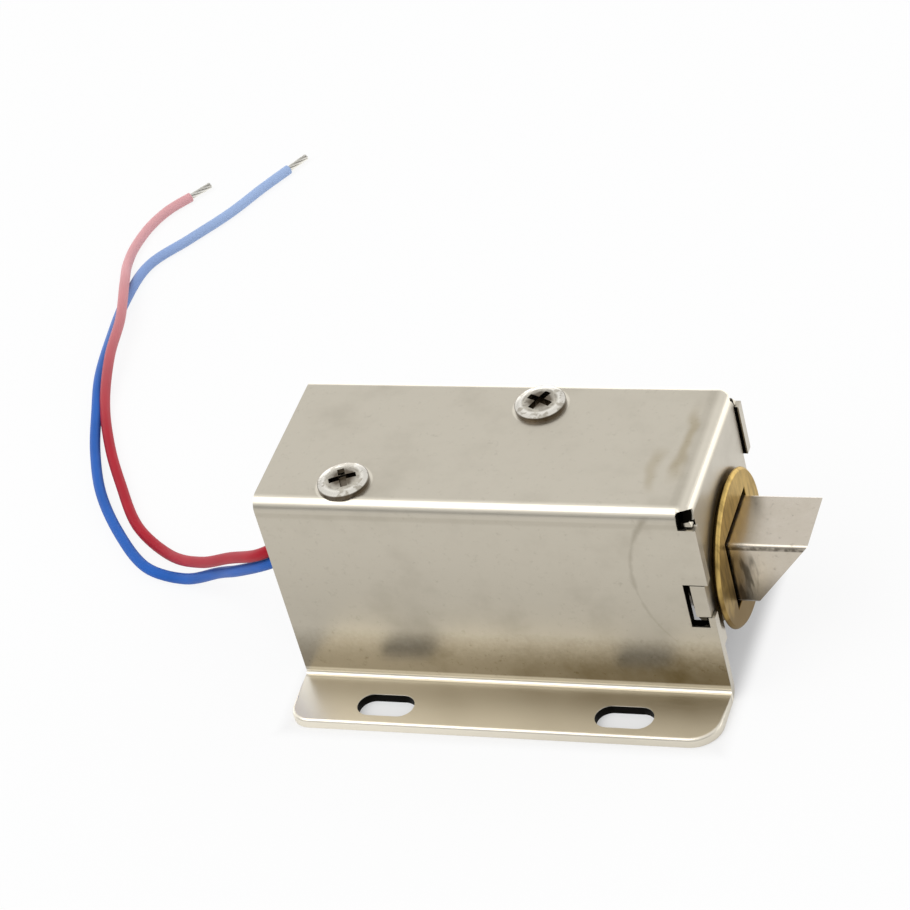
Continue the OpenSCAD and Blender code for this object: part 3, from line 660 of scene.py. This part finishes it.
def new_tree(name, lengths, counts=()):
    """An empty geometry tree with a geometry in and out, the named lengths and counts and the
    material as inputs, and what its input node gives."""
    tree = bpy.data.node_groups.new(name, "GeometryNodeTree")
    tree.interface.new_socket("Geometry", in_out="OUTPUT", socket_type="NodeSocketGeometry")
    for kind, labels in (("Geometry", ("Geometry",)), ("Float", lengths), ("Int", counts),
                         ("Material", ("Material",))):
        for label in labels:
            tree.interface.new_socket(label, in_out="INPUT", socket_type="NodeSocket" + kind)
    return tree, add(tree, "GroupInput").outputs


def end_tree(tree, given, geometry):
    """Every tree ends so: instances made real, the material set, and the result out."""
    real = add(tree, "RealizeInstances", geometry)
    done = add(tree, "SetMaterial", Geometry=real, Material=given["Material"])
    add(tree, "GroupOutput", done)
    return tree


def raised(tree, geometry, height):
    """The geometry moved up by the height."""
    return add(tree, "SetPosition", Geometry=geometry, Offset=add(tree, "CombineXYZ", Z=height))


def swept(tree, curve, sides, radius):
    """A closed wire of that many sides along a curve."""
    circle = add(tree, "CurvePrimitiveCircle", Resolution=sides, Radius=radius)
    return add(tree, "CurveToMesh", Curve=curve, Profile_Curve=circle, Fill_Caps=True)


def wire_tree():
    """Wire wound round the X axis: a line whose points go round as they go along. The closed share
    is the part of the turns at each end that lies nearly flat."""
    tree, given = new_tree("wound_wire",
                           ("Radius", "Wire", "Length", "Start", "Height", "Closed"),
                           ("Turns", "Steps", "Sides"))
    turns, closed, radius = given["Turns"], given["Closed"], given["Radius"]
    line = add(tree, "CurvePrimitiveLine", End=(1, 0, 0))
    count = add(tree, "Math MULTIPLY_ADD", turns, given["Steps"], 1)
    points = add(tree, "ResampleCurve", Curve=line, Count=count)
    t = add(tree, "SplineParameter").outputs["Factor"]
    # the length gained is an eighth as fast within the closed share at each end
    over = add(tree, "Math SUBTRACT", t, add(tree, "Math SUBTRACT", 1, closed))
    flat = add(tree, "Math ADD", add(tree, "Math MINIMUM", t, closed),
               add(tree, "Math MAXIMUM", over, 0))
    both = add(tree, "Math MULTIPLY", closed, 2)
    fast_share = add(tree, "Math SUBTRACT", 1, add(tree, "Math DIVIDE", both, 8))
    rate = add(tree, "Math DIVIDE", fast_share, add(tree, "Math SUBTRACT", 1, both))
    share = add(tree, "Math MULTIPLY_ADD", add(tree, "Math SUBTRACT", t, flat), rate,
                add(tree, "Math DIVIDE", flat, 8))
    angle = add(tree, "Math MULTIPLY", t, add(tree, "Math MULTIPLY", turns, 2 * math.pi))
    where = add(tree, "CombineXYZ",
                add(tree, "Math MULTIPLY_ADD", share, given["Length"], given["Start"]),
                add(tree, "Math MULTIPLY", add(tree, "Math COSINE", angle), radius),
                add(tree, "Math MULTIPLY_ADD", add(tree, "Math SINE", angle), radius,
                    given["Height"]))
    wound = add(tree, "SetPosition", Geometry=points, Position=where)
    half = add(tree, "Math DIVIDE", given["Wire"], 2)
    return end_tree(tree, given, swept(tree, wound, given["Sides"], half))


# ---------------------------------------------------------------- operators


class LockOperator:
    """What the operators share."""
    bl_options = {"REGISTER", "UNDO"}


class LOCK_OT_stage(LockOperator, bpy.types.Operator):
    """Sets up the camera, the white floor and the soft light"""
    bl_idname = "lock.stage"
    bl_label = "Stage"

    def execute(self, context):
        scene, setting = context.scene, context.scene.lock_stage
        scene.view_settings.view_transform = "Standard"
        camera = bpy.data.cameras.new("camera")
        camera.sensor_width, camera.lens = 36, setting.lens
        camera.clip_start, camera.clip_end = 0.01, 20
        view = linked("camera", camera)
        view.matrix_world = Matrix(((0.93533, -0.02127, 0.35315, 0.13272),
                                    (0.28144, 0.64958, -0.70629, -0.27549),
                                    (-0.21438, 0.76000, 0.61355, 0.26532),
                                    (0, 0, 0, 1)))
        scene.camera = view
        self.floor()
        self.light(scene, setting)
        return {"FINISHED"}

    def floor(self):
        """White paper. It glows by itself for the camera and in mirrors, least under the casing and
        in front, most at the back, and takes the shadows with the rest of its colour."""
        mesh = bpy.data.meshes.new("floor")
        side, level = 3.0, -0.05 * MM
        mesh.from_pydata([(-side, -side, level), (side, -side, level), (side, side, level),
                          (-side, side, level)], [], [(0, 1, 2, 3)])
        made, tree, place = shader("white_paper")
        x, y, _, across = casing_place(tree, place)
        path = add(tree, "LightPath").outputs
        glossy = path["Is Glossy Ray"]
        seen = most_of(tree, path["Is Camera Ray"], glossy, path["Is Transmission Ray"])
        around = most_of(tree, (add(tree, "Math ABSOLUTE", x), 25.2, 28.0), (y, 18.2, 21.0))
        part = all_of(tree, seen, add(tree, "Math MULTIPLY_ADD", around, 0.58, 0.3))
        lit = combined(tree, "ADD", (across, 30, 110), (across, -40, -260, 0, -0.5))
        strength = add(tree, "Math MULTIPLY_ADD", lit, glossy, 1)
        paper = add(tree, "BsdfDiffuse", Color=linear("F4F4F4"))
        glow = add(tree, "Emission", Color=(1, 1, 1, 1), Strength=strength)
        upper = add(tree, "MixShader", part, paper, glow)
        # clear from below, so that the underside can be looked at
        below = add(tree, "NewGeometry").outputs["Backfacing"]
        whole = add(tree, "MixShader", below, upper, add(tree, "BsdfTransparent"))
        add(tree, "OutputMaterial", Surface=whole)
        mesh.materials.append(made)
        linked("floor", mesh)

    def light(self, scene, setting):
        """A white room with a wide soft light overhead, a bright wall behind and a dim one in
        front, as mirrors see it; matt surfaces get a share of it, and the rest from two boxes."""
        scene.world = bpy.data.worlds.new("room")
        scene.world.use_nodes = True
        tree = scene.world.node_tree
        tree.nodes.clear()
        way = add(tree, "TexCoord").outputs["Generated"]
        _, y, z = add(tree, "SeparateXYZ", way).outputs
        front = combined(tree, "ADD", (z, 0.12, 0.34, 0.30, 0.78), (z, 0.34, 0.6, 0, 0.25))
        back = combined(tree, "ADD", (z, 0.16, 0.34, 2.1, 0.88), (z, 0.4, 0.62, 0, 0.14))
        walls = add(tree, "Mix FLOAT", all_of(tree, (y, -0.35, 0.35)), front, back)
        overhead = add(tree, "VectorMath DOT_PRODUCT", way, (-0.33, -0.38, 0.864))
        level = combined(tree, "ADD", walls, (overhead, 0.87, 0.985, 0, 1.6))
        path = add(tree, "LightPath").outputs
        matt = add(tree, "Math MULTIPLY_ADD", path["Is Diffuse Ray"], setting.room - 1, 1)
        room = add(tree, "Background", Color=(0.985, 0.99, 1, 1),
                   Strength=all_of(tree, level, matt))
        white = add(tree, "Background", Color=(1, 1, 1, 1), Strength=1)
        add(tree, "OutputWorld", Surface=add(tree, "MixShader", path["Is Camera Ray"], room, white))
        for name, place, size, power in (("soft_box", (-0.25, -0.40, 0.70), 0.8, 1.7),
                                         ("back_box", (0.45, 0.60, 0.45), 0.6, 0.6)):
            lamp = bpy.data.lights.new(name, "AREA")
            lamp.shape, lamp.size, lamp.energy = "SQUARE", size, power * setting.key
            box = linked(name, lamp)
            box.visible_glossy = False
            way = Vector((0, 0, TOP / 2 * MM)) - Vector(place)
            box.matrix_world = Matrix.Translation(place) @ way.to_track_quat("-Z", "Y") \
                .to_matrix().to_4x4()


class LOCK_OT_leads(LockOperator, bpy.types.Operator):
    """Lays the red and the blue lead and their tinned ends"""
    bl_idname = "lock.leads"
    bl_label = "Leads"

    def execute(self, context):
        setting = context.scene.lock_leads
        tinned = plain_metal("tinned_copper", linear("D8D6D0"), linear("A8A49A"), 0.32, 0.3)
        for name, route, paint, pale in (("red", RED_ROUTE, setting.red, "F2C4C6"),
                                         ("blue", BLUE_ROUTE, setting.blue, "BED3F0")):
            rings = smooth_route(route)
            mesh, measured = tube(name + "_lead_tube", rings, setting.diameter / 2, 20)
            end = measured / MM
            cover = drawn_pvc(name + "_pvc", paint, linear(pale), end - 60, end - 8)
            lead = new_piece(name + "_lead_tube", mesh, cover, "lock", name + "_pvc",
                             name + "_lead")
            last, before = Vector(route[-1]) * MM, Vector(route[-2]) * MM
            way = (last - before).normalized()
            strands = self.strands(name, last, way, setting, tinned)
        return {"FINISHED"}

    def strands(self, name, start, way, setting, tinned):
        tree = strand_tree()
        mesh = node_mesh(name + "_strands", tree,
                         {"Around": setting.strands, "Bundle": setting.strand,
                          "Length": setting.bare, "Material": tinned})
        turn = Vector((1, 0, 0)).rotation_difference(way).to_matrix().to_4x4()
        mesh.transform(Matrix.Translation(start) @ turn)
        return new_piece(name + "_strands", mesh, tinned, "lock", "tinned_copper",
                         name + "_lead_end")


def strand_tree():
    """Tinned strands twisted together along X: one in the middle and the rest around it."""
    if "twisted_strands" in bpy.data.node_groups:
        return bpy.data.node_groups["twisted_strands"]
    tree, given = new_tree("twisted_strands", ("Bundle", "Length"), ("Around",))
    line = add(tree, "CurvePrimitiveLine", End=add(tree, "CombineXYZ", given["Length"]))
    points = add(tree, "ResampleCurve", Curve=line, Count=17)
    side = raised(tree, points, add(tree, "Math DIVIDE", given["Bundle"], 3))
    ring = add(tree, "MeshCircle", Vertices=given["Around"], Radius=0)
    angle = add(tree, "Math MULTIPLY", add(tree, "InputIndex"),
                add(tree, "Math DIVIDE", 2 * math.pi, given["Around"]))
    copies = add(tree, "InstanceOnPoints", Points=ring, Instance=side,
                 Rotation=add(tree, "CombineXYZ", angle))
    straight = add(tree, "RealizeInstances", copies)
    # the twist: each point turns about X as it goes along, by 2.4 radians over the length
    place = add(tree, "InputPosition")
    gone = add(tree, "SeparateXYZ", place).outputs["X"]
    turn = add(tree, "Math MULTIPLY", add(tree, "Math DIVIDE", gone, given["Length"]), 2.4)
    spun = add(tree, "VectorRotate X_AXIS", Vector=place, Angle=turn)
    twisted = add(tree, "SetPosition", Geometry=straight, Position=spun)
    both = add(tree, "JoinGeometry", [points, twisted])
    sixth = add(tree, "Math DIVIDE", given["Bundle"], 6)
    return end_tree(tree, given, swept(tree, both, 8, sixth))


class LOCK_OT_casing(LockOperator, bpy.types.Operator):
    """Dresses the folded casing in satin nickel with softened edges"""
    bl_idname = "lock.casing"
    bl_label = "Casing"

    def execute(self, context):
        setting = context.scene.lock_sheet
        nickel = satin_nickel("satin_nickel_sheet", setting)
        softened("casing", setting.edge, nickel, "lock", "nickel_plated_sheet", 2,
                 setting.rolled, well_rounded)
        return {"FINISHED"}


def well_rounded(line):
    """Whether an edge lies around a foot on its upper side, and not around a mounting slot."""
    for vert in line.verts:
        x, y, z = (abs(value) / MM for value in vert.co)
        in_slot = math.hypot(max(abs(x - SLOT_X) - SLOT_STRAIGHT, 0), y - SLOT_Y) < 1.9
        if abs(z - SHEET) > 0.01 or y < 12.2 or in_slot:
            return False
    return True


class LOCK_OT_collar(LockOperator, bpy.types.Operator):
    """Dresses the turned brass collar"""
    bl_idname = "lock.collar"
    bl_label = "Collar"

    def execute(self, context):
        setting = context.scene.lock_brass
        brass = turned_brass("turned_brass", setting.bright, setting.tarnish_and_shade, setting.mark)
        softened("collar", BROKEN, brass, "lock", "turned_brass")
        return {"FINISHED"}


class LOCK_OT_bolt(LockOperator, bpy.types.Operator):
    """Dresses the bolt, its washer, the plunger and the pin"""
    bl_idname = "lock.bolt"
    bl_label = "Bolt and plunger"

    def execute(self, context):
        # the last colour paints soiling and the dark reflection under the edges
        plated = bolt_nickel_and_shade("nickel_plated_bolt", linear("CCC3B6"), linear("BDB4A4"),
                               linear("3A3328"), 0.22)
        ground = plain_metal("ground_steel", linear("B8B8B6"), linear("8E8E8C"), 0.3, 0.25)
        hard = plain_metal("hardened_pin", linear("8A8C90"), linear("6A6C70"), 0.25, 0.3)
        nylon = soft_plastic("black_nylon", linear("1E1E20"), linear("2C2C2E"), 0.5, 0.25)
        softened("bolt", BROKEN, plated, "slide", "nickel_plated_bolt")
        softened("stop_washer", BROKEN, nylon, "slide", "black_nylon")
        softened("plunger", ROUNDED, ground, "slide", "ground_steel")
        softened("cross_pin", ROUNDED, hard, "slide", "ground_steel")
        return {"FINISHED"}


class LOCK_OT_screws(LockOperator, bpy.types.Operator):
    """Makes the two case screws with their cross recess and thread"""
    bl_idname = "lock.screws"
    bl_label = "Case screws"

    def execute(self, context):
        setting = context.scene.lock_screws
        # the second colour is a painted highlight, and the last paints soiling and shade
        plated = screw_wear_and_shade("nickel_plated_screw", linear("C2BCAF"), linear("F0ECE2"),
                            linear("4A3D2C"))
        mesh = node_mesh("case_screws_made", screw_tree(),
                         {"Head": setting.head, "Height": setting.height,
                          "Thread": setting.thread, "Pitch": setting.pitch,
                          "Shank": setting.shank, "Recess": setting.recess,
                          "Recess Width": setting.recess_width,
                          "Recess Depth": setting.recess_depth, "Material": plated},
                         [(x * MM, y * MM, TOP * MM, math.radians(turn))
                          for (x, y), turn in zip(SCREWS, (25, 65))])
        mesh.shade_smooth()
        mesh.set_sharp_from_angle(angle=math.radians(40))
        new_piece("case_screws_made", mesh, plated, "lock", "nickel_plated_screws", "case_screws")
        return {"FINISHED"}


def screw_tree():
    """A round-headed screw on each point: a domed head, a cross recess in it, and a thread."""
    tree, given = new_tree("round_head_screws", ("Head", "Height", "Thread", "Pitch", "Shank",
                                                 "Recess", "Recess Width", "Recess Depth"))
    height, pitch, shank = given["Height"], given["Pitch"], given["Shank"]
    radius = add(tree, "Math DIVIDE", given["Head"], 2)
    disc = add(tree, "MeshCylinder TRIANGLE_FAN", Vertices=64, Side_Segments=4, Fill_Segments=10,
               Radius=radius, Depth=height)
    stood = raised(tree, disc, add(tree, "Math DIVIDE", height, 2))
    # the dome: the top sinks by 0.42 of its height at the rim, and ever less towards the middle
    x, y, z = add(tree, "SeparateXYZ", add(tree, "InputPosition")).outputs
    away = add(tree, "VectorMath LENGTH", add(tree, "CombineXYZ", x, y))
    bowl = add(tree, "Math POWER", add(tree, "Math DIVIDE", away, radius), 3.2)
    head = raised(tree, stood, all_of(tree, bowl, -0.42, z))
    # the recess: two crossed blocks sunk into the head
    arm, width = given["Recess"], given["Recess Width"]
    deep = add(tree, "Math MULTIPLY", given["Recess Depth"], 2)
    for size in ((arm, width, deep), (width, arm, deep)):
        block = add(tree, "MeshCube", Size=add(tree, "CombineXYZ", *size))
        head = add(tree, "MeshBoolean DIFFERENCE", Mesh_1=head,
                   Mesh_2=raised(tree, block, height))
    # the thread: a ridge wound down a thinner core
    depth = add(tree, "Math MULTIPLY", pitch, 0.55)
    minor = add(tree, "Math SUBTRACT", add(tree, "Math DIVIDE", given["Thread"], 2), depth)
    core = raised(tree, add(tree, "MeshCylinder", Vertices=32, Radius=minor, Depth=shank),
                  add(tree, "Math DIVIDE", shank, -2))
    turns = add(tree, "Math SUBTRACT", add(tree, "Math DIVIDE", shank, pitch), 1.5)
    reach = add(tree, "Math MULTIPLY", turns, pitch)
    helix = add(tree, "CurveSpiral", Resolution=32, Rotations=turns, Start_Radius=minor,
                End_Radius=minor, Height=reach)
    start = add(tree, "Math MULTIPLY", add(tree, "Math ADD", reach, pitch), -1)
    thread = swept(tree, raised(tree, helix, start), 4, depth)
    turned = add(tree, "CombineXYZ",
                 Z=add(tree, "InputNamedAttribute", data_type="FLOAT", Name="turn"))
    copies = add(tree, "InstanceOnPoints", Points=given["Geometry"],
                 Instance=add(tree, "JoinGeometry", [head, core, thread]), Rotation=turned)
    return end_tree(tree, given, copies)


class LOCK_OT_coil(LockOperator, bpy.types.Operator):
    """Winds the return spring and the coil, and dresses the frame around them"""
    bl_idname = "lock.coil"
    bl_label = "Coil, spring and frame"

    def execute(self, context):
        spring, coil = context.scene.lock_spring, context.scene.lock_coil
        tree = wire_tree()
        steel = plain_metal("spring_steel", linear("B4B4B4"), linear("8C8C8E"), 0.28, 0.3)
        mesh = node_mesh("return_spring_wound", tree,
                         {"Turns": spring.turns, "Radius": (spring.diameter - spring.wire) / 2,
                          "Wire": spring.wire, "Start": SPRING_REAR + spring.wire / 2,
                          "Length": SPRING_FRONT - SPRING_REAR - spring.wire, "Height": AXIS,
                          "Closed": 0.08, "Steps": 36, "Sides": 10, "Material": steel})
        mesh.shade_smooth()
        wound = new_piece("return_spring_wound", mesh, steel, "lock", "spring_steel",
                          "return_spring")
        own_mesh(wound)
        copper = plain_metal("copper_wire", linear("B5652E"), linear("8A431C"), 0.3, 0.2)
        self.winding(tree, coil, copper)
        zinc = plain_metal("zinc_plated_frame", linear("BFC0BE"), linear("94948E"), 0.36, 0.4)
        brass = plain_metal("tube_brass", linear("C8A650"), linear("A58436"), 0.26, 0.3)
        rubber = soft_plastic("black_rubber", linear("161617"), linear("242425"), 0.75, 0.2)
        nylon = soft_plastic("natural_nylon", linear("E6E2D2"), linear("D8D2BC"), 0.45, 0.3)
        tape = soft_plastic("polyester_tape", coil.tape, linear("B48E1C"), 0.3, 0.5)
        sleeve = soft_plastic("heat_shrink", linear("17171A"), linear("232327"), 0.42, 0.4)
        for node, edge, finish, slot in (
                ("yoke", 0.15, zinc, "zinc_plated_frame"),
                ("yoke_front_plate", 0.12, zinc, "zinc_plated_frame"),
                ("pole_core", 0.15, steel, "ground_steel"),
                ("pole_shim", 0.03, brass, "tube_brass"),
                ("guide_tube", 0.05, brass, "tube_brass"),
                ("bumper_washer", 0.15, rubber, "black_rubber"),
                ("bobbin", 0.1, nylon, "natural_nylon"),
                ("coil_tape", 0.04, tape, "polyester_tape"),
                ("lead_sleeves", 0.2, sleeve, "heat_shrink")):
            softened(node, edge * MM, finish, "lock", slot)
        return {"FINISHED"}

    def winding(self, tree, coil, copper):
        """The outermost layer of turns, which stands for the whole winding."""
        reach = [vert.co.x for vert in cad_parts["coil_winding"].data.vertices]
        start, end = min(reach), max(reach)
        turns = int((end - start) / coil.wire)
        mesh = node_mesh("coil_winding_wound", tree,
                         {"Turns": turns, "Radius": COIL / 2 - coil.wire / 2, "Wire": coil.wire,
                          "Start": start + coil.wire / 2, "Length": end - start - coil.wire,
                          "Height": AXIS, "Closed": 0.0001, "Steps": 48, "Sides": 6,
                          "Material": copper})
        mesh.shade_smooth()
        new_piece("coil_winding_wound", mesh, copper, "lock", "copper_wire", "coil_winding")


class LOCK_PT_panel(bpy.types.Panel):
    """The settings of the lock, and a button for each step"""
    bl_idname = "LOCK_PT_panel"
    bl_label = "Solenoid lock"
    bl_space_type = "VIEW_3D"
    bl_region_type = "UI"
    bl_category = "Lock"

    def draw(self, context):
        for setting, kind in GROUPS.items():
            box = self.layout.box()
            for key in kind.__annotations__:
                box.prop(getattr(context.scene, setting), key)
        for step in STEPS:
            self.layout.operator(step.bl_idname)


GROUPS = {"lock_stage": LockStage, "lock_leads": LockLeads, "lock_sheet": LockSheet,
          "lock_screws": LockScrews, "lock_brass": LockBrass, "lock_spring": LockSpring,
          "lock_coil": LockCoil}
STEPS = (LOCK_OT_stage, LOCK_OT_leads, LOCK_OT_casing, LOCK_OT_collar, LOCK_OT_bolt,
         LOCK_OT_screws, LOCK_OT_coil)
CLASSES = tuple(GROUPS.values()) + STEPS + (LOCK_PT_panel,)


def register():
    for kind in CLASSES:
        bpy.utils.register_class(kind)
    for setting, kind in GROUPS.items():
        setattr(bpy.types.Scene, setting, bpy.props.PointerProperty(type=kind))


def unregister():
    for setting in GROUPS:
        delattr(bpy.types.Scene, setting)
    for kind in reversed(CLASSES):
        bpy.utils.unregister_class(kind)


def main():
    register()
    bpy.ops.lock.stage()
    bpy.ops.lock.leads()
    bpy.ops.lock.casing()
    bpy.ops.lock.collar()
    bpy.ops.lock.bolt()
    bpy.ops.lock.screws()
    bpy.ops.lock.coil()
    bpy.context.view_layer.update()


if __name__ == "__main__":
    main()
